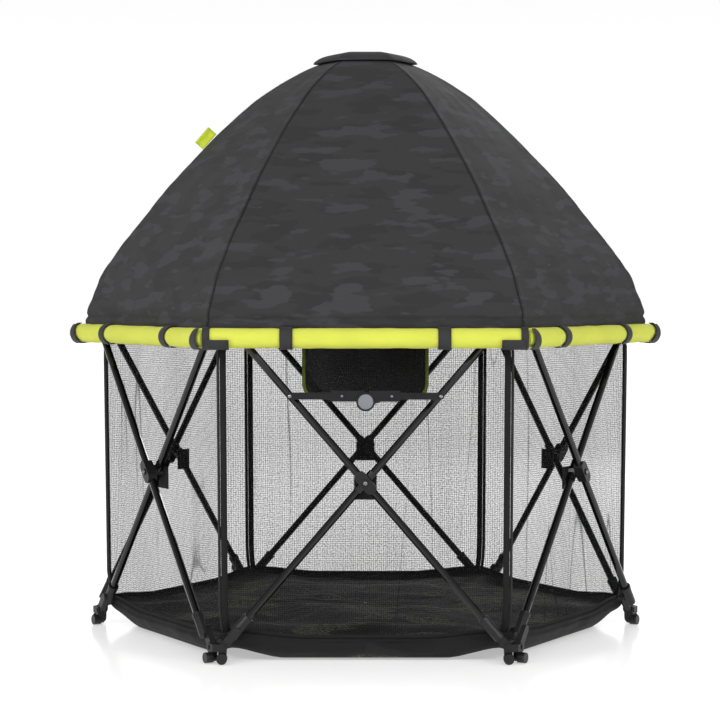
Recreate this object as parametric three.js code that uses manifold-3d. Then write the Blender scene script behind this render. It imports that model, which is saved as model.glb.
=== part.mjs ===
// Travel play yard: a ring of six scissor sides that gathers to a bundle, a sewn liner and a domed canopy.
// Millimetres, +Z up, origin on the floor at the middle of the yard. Side 0 faces -Y.
import * as THREE from "three";
import { mergeVertices } from "three/addons/utils/BufferGeometryUtils.js";
import Module from "manifold-3d";

const wasm = await Module();
wasm.setup();

// Driving dimensions
const sides = 6;
const sideTurn = (2 * Math.PI) / sides;
const gap = 0.4; // between pieces that touch

const frameApothem = 527; // middle plane of each side's scissor
const tubeOffset = 9.5; // each tube's axis from that plane
const tubeRadius = 8;
const tubeWall = 1.2;
const pivotHalfSpan = 290; // foot and top pivots from the middle of the side
const crossHeight = 369;
const armRise = 336.6; // from the crossing up to the top pivots and down to the foot pivots
const footPivotHeight = crossHeight - armRise;
const topPivotHeight = crossHeight + armRise;
const armLength = Math.hypot(pivotHalfSpan, armRise);
const armAngle = Math.atan2(armRise, pivotHalfSpan);

const pinRadius = 2.5;
const pinClearance = 0.3;
const rivetHeadRadius = 5;
const rivetHeadHeight = 2;

const elbow = { radius: 11, from: 27, to: 80, neckHalf: 6.6, knuckle: 8.5, bore: 8.2 };
const footPad = { radius: 11, thick: 17, apothem: 537, halfSpan: 291 };
const wing = { radius: 9.5, thick: 2.6, clear: 0.5 };

const tongue = { thick: 4, radius: 8, from: 27, hole: pinRadius + pinClearance };
const topHub = { radius: 11, wall: 2.5, slot: 2.4, reach: 11, cornerRadius: 616, inner: 507 };

const block = { length: 50, width: 24, wall: 3.2 };
const crossPin = { radius: 3, head: 7 };

const rail = { radius: 21, apothem: 558, height: 662, flat: 546, cornerGap: 0.8, cornerReach: 651 };
const wall = { topRadius: 581, bottomRadius: 574, top: 664, bottom: 60, thick: 3 };
const mat = { radius: 582, top: 62, edge: 50, under: 538, floor: 55 };
const pocket = { halfWidth: 126, top: 640, bottom: 538, depth: 24, corner: 30, lining: 3 };

const canopy = {
  // radius and height of a corner seam, hem to crown
  profile: [
    [641, 689], [630, 722], [602, 790], [548, 868], [500, 926], [456, 981],
    [418, 1024], [378, 1066], [333, 1111], [274, 1164], [230, 1199], [160, 1242], [100, 1268],
  ],
  crown: 1278,
  thick: 3,
  capRadius: 122,
  capDrop: 12,
  capThick: 4,
};
const pole = { radius: 4, inset: 12, footRadius: 600, rise: 9, stack: 10 };

const lock = {
  reach: 233, // along the tube from the crossing to the arm's pivot
  barHeight: 14,
  channelHeight: 22,
  channelFrom: 70,
  rear: 551.6,
  thick: 5,
  ring: 19,
  hub: 16,
  drop: 11,
  buttonHeight: 6,
  buttonBase: 5.8,
};

// Solids and meshes
const solidOf = (geometry) => {
  const bare = new THREE.BufferGeometry().setAttribute("position", geometry.getAttribute("position"));
  if (geometry.index) bare.setIndex(geometry.index);
  const merged = mergeVertices(bare, 1e-3);
  return new wasm.Manifold(
    new wasm.Mesh({
      numProp: 3,
      vertProperties: merged.attributes.position.array,
      triVerts: new Uint32Array(merged.index.array),
    }),
  );
};

const geometryOf = (solid) => {
  const mesh = solid.getMesh();
  const geometry = new THREE.BufferGeometry();
  geometry.setAttribute("position", new THREE.BufferAttribute(new Float32Array(mesh.vertProperties), 3));
  geometry.setIndex(new THREE.BufferAttribute(new Uint32Array(mesh.triVerts), 1));
  geometry.computeVertexNormals();
  return geometry;
};

const union = (solids) => solids.reduce((whole, piece) => whole.add(piece));

const point = (x, y, z) => new THREE.Vector3(x, y, z);

// A round bar from one point to another
const bar = (from, to, radius, segments = radius < 4 ? 8 : 10) => {
  const length = from.distanceTo(to);
  const geometry = new THREE.CylinderGeometry(radius, radius, length, segments);
  const turn = new THREE.Quaternion().setFromUnitVectors(point(0, 1, 0), to.clone().sub(from).normalize());
  geometry.applyQuaternion(turn);
  const middle = from.clone().add(to).multiplyScalar(0.5);
  geometry.translate(middle.x, middle.y, middle.z);
  return solidOf(geometry);
};

// A flat piece whose outline lies in the side's plane, between two distances from the yard's axis
const plate = (shape, inner, outer, curveSegments = 3) => {
  const geometry = new THREE.ExtrudeGeometry(shape, {
    depth: outer - inner,
    bevelEnabled: false,
    curveSegments,
  });
  geometry.rotateX(Math.PI / 2);
  geometry.translate(0, -inner, 0);
  return solidOf(geometry);
};

// A prism that stands on a plan outline
const prism = (shape, bottom, top, curveSegments = 4) => {
  const geometry = new THREE.ExtrudeGeometry(shape, {
    depth: top - bottom,
    bevelEnabled: false,
    curveSegments,
  });
  geometry.translate(0, 0, bottom);
  return solidOf(geometry);
};

const polygon = (points) => new THREE.Shape(points.map(([x, y]) => new THREE.Vector2(x, y)));

// A bar with round ends between two points of an outline plane
const slotShape = (x1, y1, x2, y2, radius) => {
  const along = Math.atan2(y2 - y1, x2 - x1);
  const shape = new THREE.Shape();
  shape.absarc(x1, y1, radius, along + Math.PI / 2, along + (3 * Math.PI) / 2, false);
  shape.absarc(x2, y2, radius, along - Math.PI / 2, along + Math.PI / 2, false);
  return shape;
};

const material = (color, roughness, metalness = 0) =>
  new THREE.MeshStandardMaterial({ color, roughness, metalness });

const finishes = {
  tube: () => material(0x0b0b0d, 0.2, 0.6),
  plastic: () => material(0x1b1c1e, 0.5),
  lockBar: () => material(0x202124, 0.4, 0.5),
  button: () => material(0x7c7e84, 0.45),
  railPad: () => material(0xd6ea3a, 0.75),
  mesh: () => material(0x141414, 0.9),
  mat: () => material(0x191a1c, 0.9),
  canopy: () => material(0x26272a, 0.85),
  pole: () => material(0x101010, 0.4),
};

const yard = new THREE.Group();
const sideGroups = [];
for (let side = 0; side < sides; side += 1) {
  const group = new THREE.Group();
  group.rotation.z = side * sideTurn;
  yard.add(group);
  sideGroups.push(group);
}

const place = (parent, name, solid, finish) => {
  const mesh = new THREE.Mesh(geometryOf(solid), finish());
  mesh.name = name;
  parent.add(mesh);
};

// Points along a side's tube: lean is +1 when the tube climbs to the right, -1 to the left
const alongTube = (lean, distance, apothem) =>
  point(lean * distance * Math.cos(armAngle), -apothem, crossHeight + distance * Math.sin(armAngle));

const tubeSides = [
  { name: "outer", lean: -1, apothem: frameApothem + tubeOffset },
  { name: "inner", lean: 1, apothem: frameApothem - tubeOffset },
];

// Tube, drawn flat at its top end and drilled for the top pin
const tubeSolid = ({ lean, apothem }) => {
  const footEnd = elbow.from + 6 - armLength;
  const roundEnd = armLength - tongue.from;
  const outside = bar(alongTube(lean, footEnd, apothem), alongTube(lean, roundEnd, apothem), tubeRadius);
  const bore = bar(
    alongTube(lean, footEnd - 1, apothem),
    alongTube(lean, roundEnd - 14, apothem),
    tubeRadius - tubeWall,
    8,
  );
  const start = alongTube(lean, roundEnd - 14, 0);
  const end = alongTube(lean, armLength, 0);
  const outline = slotShape(start.x, start.z, end.x, end.z, tongue.radius);
  const half = tongue.thick / 2;
  const flat = plate(outline, apothem - half, apothem + half);
  const hole = bar(point(end.x, -apothem + 5, end.z), point(end.x, -apothem - 5, end.z), tongue.hole);
  const bodyTube = outside.subtract(bore).add(flat).subtract(hole);
  const crossHole = bar(
    point(0, -apothem + 12, crossHeight),
    point(0, -apothem - 12, crossHeight),
    crossPin.radius + pinClearance,
  );
  const lockHole = alongTube(lean, lock.reach, 0);
  const lockBore = bar(
    point(lockHole.x, -apothem + 12, lockHole.z),
    point(lockHole.x, -apothem - 12, lockHole.z),
    pinRadius + pinClearance,
  );
  return { bodyTube: bodyTube.subtract(crossHole), lockBore };
};

// Saddle on the inner tube that carries the crossing pin
const innerSaddle = ({ lean, apothem }) => {
  const half = block.length / 2;
  const a = alongTube(lean, -half, apothem - 1);
  const b = alongTube(lean, half, apothem - 1);
  const sleeve = bar(a, b, tubeRadius + 2.2, 12);
  const pad = plate(
    slotShape(0, crossHeight, 0, crossHeight + 0.01, 14),
    apothem - 6,
    frameApothem - gap / 2,
  );
  return sleeve.add(pad);
};

// Elbow: socket on the tube's foot end, neck and knuckle in the middle plane, and the foot pad below
const elbowSolid = ({ lean, apothem }) => {
  const socket = bar(
    alongTube(lean, elbow.from - armLength, apothem),
    alongTube(lean, elbow.to - armLength, apothem),
    elbow.radius,
    12,
  );
  const collar = bar(
    alongTube(lean, elbow.to - 8 - armLength, apothem),
    alongTube(lean, elbow.to - armLength, apothem),
    elbow.radius + 0.9,
    12,
  );
  const pivot = alongTube(lean, -armLength, 0);
  const neckEnd = alongTube(lean, elbow.from + 16 - armLength, 0);
  const neck = plate(
    slotShape(pivot.x, pivot.z, neckEnd.x, neckEnd.z, elbow.knuckle),
    frameApothem - elbow.neckHalf,
    frameApothem + elbow.neckHalf,
  );
  const padX = -lean * footPad.halfSpan;
  const pad = bar(
    point(padX, footPad.thick / 2 - footPad.apothem, footPad.radius),
    point(padX, -footPad.thick / 2 - footPad.apothem, footPad.radius),
    footPad.radius,
    16,
  );
  const stem = plate(
    slotShape(padX, footPad.radius, pivot.x, pivot.z, elbow.knuckle),
    frameApothem - elbow.neckHalf,
    frameApothem + elbow.neckHalf,
  );
  const tubeBore = bar(
    alongTube(lean, elbow.from + 5 - armLength, apothem),
    alongTube(lean, elbow.to + 1 - armLength, apothem),
    elbow.bore,
    10,
  );
  const pinHole = bar(
    point(pivot.x, 20 - frameApothem, pivot.z),
    point(pivot.x, -20 - frameApothem, pivot.z),
    pinRadius + pinClearance,
  );
  return union([socket, collar, neck, stem, pad]).subtract(tubeBore).subtract(pinHole);
};

// A plate or pin drawn on the side before a corner, seen from the side after it
const fromSideBefore = (solid) => solid.rotate([0, 0, (-sideTurn * 180) / Math.PI]);

// Just past where a line parallel to a side meets the same line of the side before it
const cornerX = (apothem) => -apothem * Math.tan(sideTurn / 2) - 0.6;

// Strip of a bent plate that lies along one side, between two distances from the axis
const wingOf = (mirror, inner, outer) => {
  const pivotX = -pivotHalfSpan;
  const disc = plate(slotShape(pivotX, footPivotHeight, pivotX, footPivotHeight + 0.01, wing.radius), inner, outer);
  const strip = polygon([
    [cornerX(inner), -inner],
    [cornerX(outer), -outer],
    [pivotX, -outer],
    [pivotX, -inner],
  ]);
  const band = prism(strip, footPivotHeight - wing.radius + 2, footPivotHeight + wing.radius - 2);
  const whole = disc.add(band);
  return mirror ? whole.scale([-1, 1, 1]) : whole;
};

// Foot hub: an inner and an outer bent plate joined by the two pins that the elbows turn on
const footHubSolid = () => {
  const innerNear = frameApothem - elbow.neckHalf - wing.clear - wing.thick;
  const outerNear = frameApothem + elbow.neckHalf + wing.clear;
  const halves = [false, true].map((mirror) => {
    const x = mirror ? pivotHalfSpan : -pivotHalfSpan;
    const parts = [
      wingOf(mirror, innerNear, innerNear + wing.thick),
      wingOf(mirror, outerNear, outerNear + wing.thick),
      bar(point(x, -innerNear, footPivotHeight), point(x, -outerNear - wing.thick, footPivotHeight), pinRadius),
      bar(
        point(x, -outerNear - wing.thick, footPivotHeight),
        point(x, -outerNear - wing.thick - rivetHeadHeight, footPivotHeight),
        rivetHeadRadius,
        10,
      ),
    ];
    const half = union(parts);
    return mirror ? fromSideBefore(half) : half;
  });
  return union(halves);
};

// Top hub: a moulded corner with a slot for each tube's flat end
const topHubSolid = () => {
  const [outerTube, innerTube] = tubeSides;
  const out = outerTube.apothem + topHub.slot + topHub.wall;
  const inn = topHub.inner;
  const end = -pivotHalfSpan + topHub.reach;
  const bottom = topPivotHeight - topHub.radius;
  const top = topPivotHeight + topHub.radius;
  const arm = prism(
    polygon([[cornerX(inn), -inn], [cornerX(out), -out], [end, -out], [end, -inn]]),
    bottom,
    top,
  );
  const slotFor = (apothem) =>
    prism(
      polygon([
        [-pivotHalfSpan - topHub.radius + 1.5, -apothem - topHub.slot],
        [end + 1, -apothem - topHub.slot],
        [end + 1, -apothem + topHub.slot],
        [-pivotHalfSpan - topHub.radius + 1.5, -apothem + topHub.slot],
      ]),
      bottom - 1,
      top + 1,
    );
  const pinFor = (apothem) =>
    bar(
      point(-pivotHalfSpan, -apothem + topHub.slot + 1, topPivotHeight),
      point(-pivotHalfSpan, -apothem - topHub.slot - 1, topPivotHeight),
      pinRadius,
    );
  const onSideBefore = (solid) => fromSideBefore(solid.scale([-1, 1, 1]));
  const corner = arm
    .add(onSideBefore(arm))
    .subtract(slotFor(outerTube.apothem))
    .subtract(onSideBefore(slotFor(innerTube.apothem)));
  const pins = [pinFor(outerTube.apothem), onSideBefore(pinFor(innerTube.apothem))];
  const cut = new THREE.BoxGeometry(80, 80, 60);
  cut.translate(-topHub.cornerRadius - 40, 0, topPivotHeight);
  cut.rotateZ(sideTurn); // a square cut across the corner
  const underCanopy = sixSided([[0, bottom - 5], [636, bottom - 5], [612, 735], [0, 735]]);
  return union([corner.subtract(solidOf(cut)).intersect(underCanopy), ...pins]);
};

// Crossing block on the outer tube, with the rivet that holds both tubes
const crossingSolid = ({ lean, apothem }) => {
  const half = block.length / 2;
  const a = alongTube(lean, -half, 0);
  const b = alongTube(lean, half, 0);
  const outline = slotShape(a.x * 0.62, crossHeight + (a.z - crossHeight) * 0.62, b.x * 0.62,
    crossHeight + (b.z - crossHeight) * 0.62, block.width / 2);
  const outside = plate(outline, frameApothem + gap / 2, apothem + tubeRadius + block.wall);
  const tubeBore = bar(
    alongTube(lean, -block.length, apothem),
    alongTube(lean, block.length, apothem),
    tubeRadius + 0.3,
  );
  const pin = bar(
    point(0, -frameApothem + tubeOffset + tubeRadius, crossHeight),
    point(0, -apothem - tubeRadius - block.wall - 1, crossHeight),
    crossPin.radius,
  );
  const headFace = apothem + tubeRadius + block.wall;
  const head = bar(
    point(0, -headFace, crossHeight),
    point(0, -headFace - rivetHeadHeight, crossHeight),
    crossPin.head,
    12,
  );
  return outside.subtract(tubeBore).add(pin).add(head);
};

// Rail: padded sleeve, round outside and flat where it lies against the tubes, mitred at the corners
const sideWedge = (reach, back) => {
  const half = Math.tan(sideTurn / 2);
  return polygon([
    [-back * half, -back],
    [back * half, -back],
    [reach * half, -reach],
    [-reach * half, -reach],
  ]);
};

const railSolid = () => {
  const shape = new THREE.Shape();
  const chord = Math.acos((rail.apothem - rail.flat) / rail.radius);
  shape.absarc(0, 0, rail.radius, -Math.PI + chord, Math.PI - chord, false);
  const length = 2 * rail.apothem;
  const geometry = new THREE.ExtrudeGeometry(shape, { depth: length, bevelEnabled: false, curveSegments: 14 });
  geometry.translate(0, 0, -length / 2);
  // section's +X looks outward (-Y), its +Y up, its depth along the side
  const basis = new THREE.Matrix4().makeBasis(point(0, -1, 0), point(0, 0, 1), point(-1, 0, 0));
  geometry.applyMatrix4(basis);
  geometry.translate(0, -rail.apothem, rail.height);
  const wedge = prism(
    sideWedge(2 * rail.apothem, 20),
    rail.height - 2 * rail.radius,
    rail.height + 2 * rail.radius,
  ).translate([0, -rail.cornerGap, 0]);
  const cornerTrim = sixSided([
    [0, rail.height - 2 * rail.radius],
    [rail.cornerReach / Math.cos(sideTurn / 2), rail.height - 2 * rail.radius],
    [rail.cornerReach / Math.cos(sideTurn / 2), rail.height + 2 * rail.radius],
    [0, rail.height + 2 * rail.radius],
  ]).rotate([0, 0, 30]);
  return solidOf(geometry).intersect(wedge).intersect(cornerTrim);
};

// A six-sided ring or pan lofted through levels of [corner radius, height]
const sixSided = (levels) => {
  const points = levels.map(([radius, height]) => new THREE.Vector2(radius, height));
  const geometry = new THREE.LatheGeometry(points, sides);
  geometry.rotateX(Math.PI / 2); // the lathe turns about Y
  geometry.rotateZ(sideTurn / 2); // corners fall at the ends of the sides
  return solidOf(geometry);
};

const wallSolid = () => {
  const { topRadius, bottomRadius, top, bottom, thick } = wall;
  return sixSided([
    [bottomRadius, bottom + gap + 2],
    [topRadius, top],
    [topRadius - thick, top],
    [bottomRadius - thick, bottom + gap + 2],
    [bottomRadius, bottom + gap + 2],
  ]);
};

// Floor mat: hexagonal pad whose skirt tucks under to the floor
const matSolid = () =>
  sixSided([
    [0, 0],
    [mat.under, 0],
    [mat.radius - 8, mat.edge - 22],
    [mat.radius, mat.edge],
    [mat.radius - 3, mat.top],
    [mat.radius - 12, mat.top],
    [mat.radius - 20, mat.floor],
    [0, mat.floor],
  ]);

// Pocket: open-topped pouch that hangs inside the front wall
const pocketSolid = () => {
  const outline = (inset) => {
    const { halfWidth, top, bottom, corner } = pocket;
    const x = halfWidth - inset;
    const low = bottom + inset;
    const shape = new THREE.Shape();
    shape.moveTo(-x, top + inset);
    shape.lineTo(-x, low + corner);
    shape.absarc(-x + corner, low + corner, corner, Math.PI, 1.5 * Math.PI, false);
    shape.absarc(x - corner, low + corner, corner, 1.5 * Math.PI, 2 * Math.PI, false);
    shape.lineTo(x, top + inset);
    return shape;
  };
  const outer = (wall.bottomRadius * Math.cos(sideTurn / 2)) - 6;
  const inner = outer - pocket.depth;
  const shell = plate(outline(0), inner, outer, 6);
  const hollow = plate(outline(pocket.lining), inner + pocket.lining, outer - pocket.lining, 6);
  return shell.subtract(hollow);
};

// Canopy: six gores, hem to crown, as one shell open below
const canopySolid = () => {
  const { profile, crown, thick } = canopy;
  const inside = profile.map(([radius, height]) => [radius - thick, height - thick * 0.6]).reverse();
  inside[inside.length - 1][1] = profile[0][1];
  return sixSided([...profile, [0, crown], [0, crown - 2 * thick], ...inside, profile[0]]);
};

const capSolid = () => {
  const { capRadius, capDrop, capThick, crown } = canopy;
  const rise = crown + 8;
  return sixSided([
    [0, crown + 1.5],
    [capRadius * 0.82, crown - 1.5],
    [capRadius - 3, rise - capDrop - capThick],
    [capRadius, rise - capDrop],
    [capRadius * 0.72, rise + 4],
    [capRadius * 0.4, rise + 9],
    [0, rise + 11],
  ]);
};

// Canopy pole: a springy rod from one corner over the crown to the opposite corner
const poleSolid = (level) => {
  const lift = level * pole.stack;
  const hem = canopy.profile[0][0];
  const bend = canopy.profile
    .slice(2)
    .map(([radius, height]) => [radius - pole.inset, height - pole.inset - lift * (1 - radius / hem)]);
  const half = [[pole.footRadius, topPivotHeight + topHub.radius + pole.rise], ...bend];
  const left = half.map(([radius, height]) => point(-radius, 0, height));
  const right = [...half].reverse().map(([radius, height]) => point(radius, 0, height));
  const curve = new THREE.CatmullRomCurve3([...left, ...right]);
  const shape = new THREE.Shape();
  shape.absarc(0, 0, pole.radius, 0, 2 * Math.PI, false);
  const geometry = new THREE.ExtrudeGeometry(shape, {
    steps: 32,
    extrudePath: curve,
    curveSegments: 4,
    bevelEnabled: false,
  });
  return solidOf(geometry);
};

// Lock: two arms pinned to the front side's tubes that meet at a push button
const lockPivotX = lock.reach * Math.cos(armAngle);
const lockHeight = crossHeight + lock.reach * Math.sin(armAngle);
const lockFront = lock.rear + lock.thick + gap;
const hubHeight = lockHeight - lock.drop;

const channelShape = (from, to) => {
  const half = lock.channelHeight / 2;
  return polygon([
    [from, lockHeight - half],
    [to, lockHeight - half],
    [to, lockHeight + half],
    [from, lockHeight + half],
  ]);
};

const leftArmSolid = () => {
  const face = lock.rear;
  const arm = plate(
    slotShape(-lockPivotX, lockHeight, -lock.channelFrom + 10, lockHeight, lock.barHeight / 2),
    face,
    face + lock.thick - 1.4,
  );
  const channel = plate(channelShape(-lock.channelFrom, -2), face, face + lock.thick);
  const hook = plate(slotShape(-6, lockHeight - 4, 0, hubHeight + 6, 7), face, face + lock.thick);
  const tube = tubeSides[0].apothem;
  const pin = bar(point(-lockPivotX, -tube + 7, lockHeight), point(-lockPivotX, -face, lockHeight), pinRadius);
  const washer = bar(
    point(-lockPivotX, -tube - tubeRadius - 0.6, lockHeight),
    point(-lockPivotX, -face - 0.2, lockHeight),
    6,
  );
  const head = bar(
    point(-lockPivotX, -face - lock.thick + 1.6, lockHeight),
    point(-lockPivotX, -face - lock.thick - 0.6, lockHeight),
    rivetHeadRadius,
    12,
  );
  return union([arm, channel, hook, pin, washer, head]);
};

const rightArmSolid = () => {
  const face = lockFront;
  const arm = plate(
    slotShape(lockPivotX, lockHeight, lock.channelFrom - 10, lockHeight, lock.barHeight / 2),
    face,
    face + lock.thick - 1.4,
  );
  const channel = plate(channelShape(8, lock.channelFrom), face, face + lock.thick);
  const boss = plate(slotShape(0.5, hubHeight, 0.5, hubHeight + 0.01, lock.ring), face, face + lock.thick + 3, 16);
  const gusset = plate(slotShape(6, hubHeight + 1, 30, lockHeight - 2, 9), face, face + lock.thick);
  const well = plate(
    slotShape(0.5, hubHeight, 0.5, hubHeight + 0.01, lock.hub),
    face + 1.6,
    face + lock.thick + 4,
    16,
  );
  const tube = tubeSides[1].apothem;
  const pin = bar(point(lockPivotX, -tube + 7, lockHeight), point(lockPivotX, -face - 1, lockHeight), pinRadius);
  const spacer = bar(
    point(lockPivotX, -tube - tubeRadius - 0.6, lockHeight),
    point(lockPivotX, -face - 0.2, lockHeight),
    6,
  );
  const head = bar(
    point(lockPivotX, -face - lock.thick + 1.6, lockHeight),
    point(lockPivotX, -face - lock.thick - 0.6, lockHeight),
    rivetHeadRadius,
    12,
  );
  return union([arm, channel, boss, gusset, pin, spacer, head]).subtract(well);
};

// Push button with a rounded rim, proud of its ring
const buttonSolid = () => {
  const radius = lock.hub - 0.6;
  const height = lock.buttonHeight;
  const profile = [
    [0, 0],
    [radius, 0],
    [radius, height - 1.6],
    [radius - 1.4, height],
    [0, height],
  ].map(([x, y]) => new THREE.Vector2(x, y));
  const geometry = new THREE.LatheGeometry(profile, 32);
  geometry.rotateX(Math.PI); // the face looks out of the front side
  return solidOf(geometry);
};

// Assembly
const crossings = crossingSolid(tubeSides[0]);
const hubs = footHubSolid();
const topHubs = topHubSolid();
const rails = railSolid();
const tubes = tubeSides.map(tubeSolid);
const elbows = tubeSides.map(elbowSolid);
const saddle = innerSaddle(tubeSides[1]);

sideGroups.forEach((group, side) => {
  tubeSides.forEach(({ name, lean, apothem }, which) => {
    let solid = tubes[which].bodyTube;
    if (name === "inner") {
      const crossHole = bar(
        point(0, -apothem + 14, crossHeight),
        point(0, -frameApothem - 4, crossHeight),
        crossPin.radius + pinClearance,
      );
      const core = bar(alongTube(lean, -60, apothem), alongTube(lean, 60, apothem), tubeRadius - tubeWall, 8);
      solid = solid.add(saddle.subtract(core)).subtract(crossHole);
    }
    if (side === 0) solid = solid.subtract(tubes[which].lockBore);
    place(group, `${name}_tube_${side}`, solid, finishes.tube);
    place(group, `${name}_elbow_${side}`, elbows[which], finishes.plastic);
  });
  place(group, `crossing_block_${side}`, crossings, finishes.plastic);
  place(group, `foot_hub_${side}`, hubs, finishes.plastic);
  place(group, `top_hub_${side}`, topHubs, finishes.plastic);
  place(group, `rail_pad_${side}`, rails, finishes.railPad);
});

place(yard, "mesh_enclosure", wallSolid(), finishes.mesh);
place(yard, "floor_mat", matSolid(), finishes.mat);
place(yard, "storage_pocket", pocketSolid(), finishes.mesh);
place(yard, "canopy_fabric", canopySolid(), finishes.canopy);
place(yard, "canopy_cap", capSolid(), finishes.canopy);
for (let level = 0; level < sides / 2; level += 1) {
  const holder = new THREE.Group();
  holder.rotation.z = level * sideTurn;
  yard.add(holder);
  place(holder, `canopy_pole_${level}`, poleSolid(level), finishes.pole);
}
place(yard, "lock_arm_left", leftArmSolid(), finishes.lockBar);
place(yard, "lock_arm_right", rightArmSolid(), finishes.lockBar);

const buttonHolder = new THREE.Group();
buttonHolder.position.set(0.5, -(lockFront + lock.buttonBase), hubHeight);
yard.add(buttonHolder);
place(buttonHolder, "lock_button", buttonSolid(), finishes.button);

export default yard;
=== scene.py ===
import math

import bpy
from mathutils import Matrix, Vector, noise


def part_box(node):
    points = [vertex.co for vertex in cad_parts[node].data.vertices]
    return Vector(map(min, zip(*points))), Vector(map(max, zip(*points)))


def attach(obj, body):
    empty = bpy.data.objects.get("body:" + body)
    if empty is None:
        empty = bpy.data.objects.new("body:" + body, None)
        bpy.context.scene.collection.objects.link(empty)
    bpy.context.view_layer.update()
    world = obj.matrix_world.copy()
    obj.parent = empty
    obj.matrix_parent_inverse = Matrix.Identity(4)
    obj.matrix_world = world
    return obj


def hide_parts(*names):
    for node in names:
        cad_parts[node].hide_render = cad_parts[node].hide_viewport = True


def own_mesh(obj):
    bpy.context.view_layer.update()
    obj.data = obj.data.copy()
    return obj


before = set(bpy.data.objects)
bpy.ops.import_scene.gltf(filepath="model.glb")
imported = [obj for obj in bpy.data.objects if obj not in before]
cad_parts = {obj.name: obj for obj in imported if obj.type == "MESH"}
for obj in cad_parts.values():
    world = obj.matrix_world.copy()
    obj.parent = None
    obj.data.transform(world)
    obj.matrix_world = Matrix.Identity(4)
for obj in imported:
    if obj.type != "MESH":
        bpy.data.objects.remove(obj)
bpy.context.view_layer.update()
print("frame loaded")

sideCount = 6
sideTurn = math.tau / sideCount
halfTan = math.tan(sideTurn / 2)
halfCos = math.cos(sideTurn / 2)

railLow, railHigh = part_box("rail_pad_0")
wallLow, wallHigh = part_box("mesh_enclosure")
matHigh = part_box("floor_mat")[1]
blockLow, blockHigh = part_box("crossing_block_0")
pocketLow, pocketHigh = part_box("storage_pocket")
leftArmLow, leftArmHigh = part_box("lock_arm_left")
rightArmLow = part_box("lock_arm_right")[0]

foldedShare = 0.235  # folded side length over open side length


# A point given along a side, out from the yard's axis and up.
def sidePoint(side, along, out, up):
    turn = side * sideTurn
    x, y = along, -out
    return Vector((x * math.cos(turn) - y * math.sin(turn), x * math.sin(turn) + y * math.cos(turn), up))


def sideAxis(side):
    return sidePoint(side, 1, 0, 0)


def smoothStep(low, high, value):
    share = min(1, max(0, (value - low) / (high - low)))
    return share * share * (3 - 2 * share)


def ripple(x, y, z, seed=0.0):
    return noise.noise(Vector((x, y, z + seed * 7.3)))


def newPiece(name, points, faces, smooth=True):
    mesh = bpy.data.meshes.new(name)
    mesh.from_pydata([tuple(point) for point in points], [], faces)
    mesh.validate()
    mesh.polygons.foreach_set("use_smooth", [smooth] * len(mesh.polygons))
    piece = bpy.data.objects.new(name, mesh)
    bpy.context.scene.collection.objects.link(piece)
    return piece


# A sheet of rows by columns points; place(rowShare, columnShare) gives each point.
def gridPiece(name, rows, columns, place, closeColumns=False, closeRows=False, capEnds=False):
    points, faces = [], []
    for row in range(rows):
        for column in range(columns):
            rowShare = row / (rows if closeRows else rows - 1)
            columnShare = column / (columns if closeColumns else columns - 1)
            points.append(place(rowShare, columnShare))
    lastRow = rows if closeRows else rows - 1
    lastColumn = columns if closeColumns else columns - 1
    for row in range(lastRow):
        for column in range(lastColumn):
            nextRow, nextColumn = (row + 1) % rows, (column + 1) % columns
            faces.append((row * columns + column, row * columns + nextColumn,
                          nextRow * columns + nextColumn, nextRow * columns + column))
    if capEnds:
        faces.append(tuple(range(columns))[::-1])
        faces.append(tuple((rows - 1) * columns + column for column in range(columns)))
    return newPiece(name, points, faces)


def selectOnly(pieces):
    for other in bpy.context.selected_objects:
        other.select_set(False)
    for piece in pieces:
        piece.select_set(True)
    bpy.context.view_layer.objects.active = pieces[0]


def fixNormals(piece):
    selectOnly([piece])
    bpy.ops.object.mode_set(mode="EDIT")
    bpy.ops.mesh.select_all(action="SELECT")
    bpy.ops.mesh.normals_make_consistent(inside=False)
    bpy.ops.object.mode_set(mode="OBJECT")
    return piece


def joinPieces(name, parts):
    selectOnly(parts)
    bpy.ops.object.join()
    parts[0].name = name
    return parts[0]


def addModifier(piece, kind, **values):
    modifier = piece.modifiers.new(kind.lower(), kind)
    for key, value in values.items():
        setattr(modifier, key, value)
    return modifier


def applyModifiers(piece):
    bpy.context.view_layer.objects.active = piece
    for modifier in list(piece.modifiers):
        bpy.ops.object.modifier_apply(modifier=modifier.name)
    return piece


def thicken(piece, thickness, offset=0):
    addModifier(piece, "SOLIDIFY", thickness=thickness, offset=offset)
    return applyModifiers(piece)


# Finishes

def startMaterial(name):
    material = bpy.data.materials.new(name)
    material.use_nodes = True
    nodes, links = material.node_tree.nodes, material.node_tree.links
    shader = nodes["Principled BSDF"]
    return material, nodes, links, shader


def addNode(nodes, kind, **values):
    node = nodes.new(kind)
    for key, value in values.items():
        if hasattr(node, key):
            setattr(node, key, value)
        else:
            node.inputs[key].default_value = value
    return node


def placeCoords(nodes, links, scale=(1, 1, 1)):
    coords = addNode(nodes, "ShaderNodeTexCoord")
    mapping = addNode(nodes, "ShaderNodeMapping")
    mapping.inputs["Scale"].default_value = scale
    links.new(coords.outputs["Object"], mapping.inputs["Vector"])
    return mapping.outputs["Vector"]


def addNoise(nodes, links, vector, scale, detail=2):
    texture = addNode(nodes, "ShaderNodeTexNoise", Scale=scale, Detail=detail)
    links.new(vector, texture.inputs["Vector"])
    return texture


def addRamp(nodes, links, source, stops):
    ramp = nodes.new("ShaderNodeValToRGB")
    elements = ramp.color_ramp.elements
    while len(elements) < len(stops):
        elements.new(0.5)
    for element, (position, color) in zip(elements, stops):
        element.position = position
        element.color = (*color, 1)
    links.new(source, ramp.inputs["Fac"])
    return ramp.outputs["Color"]


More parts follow.
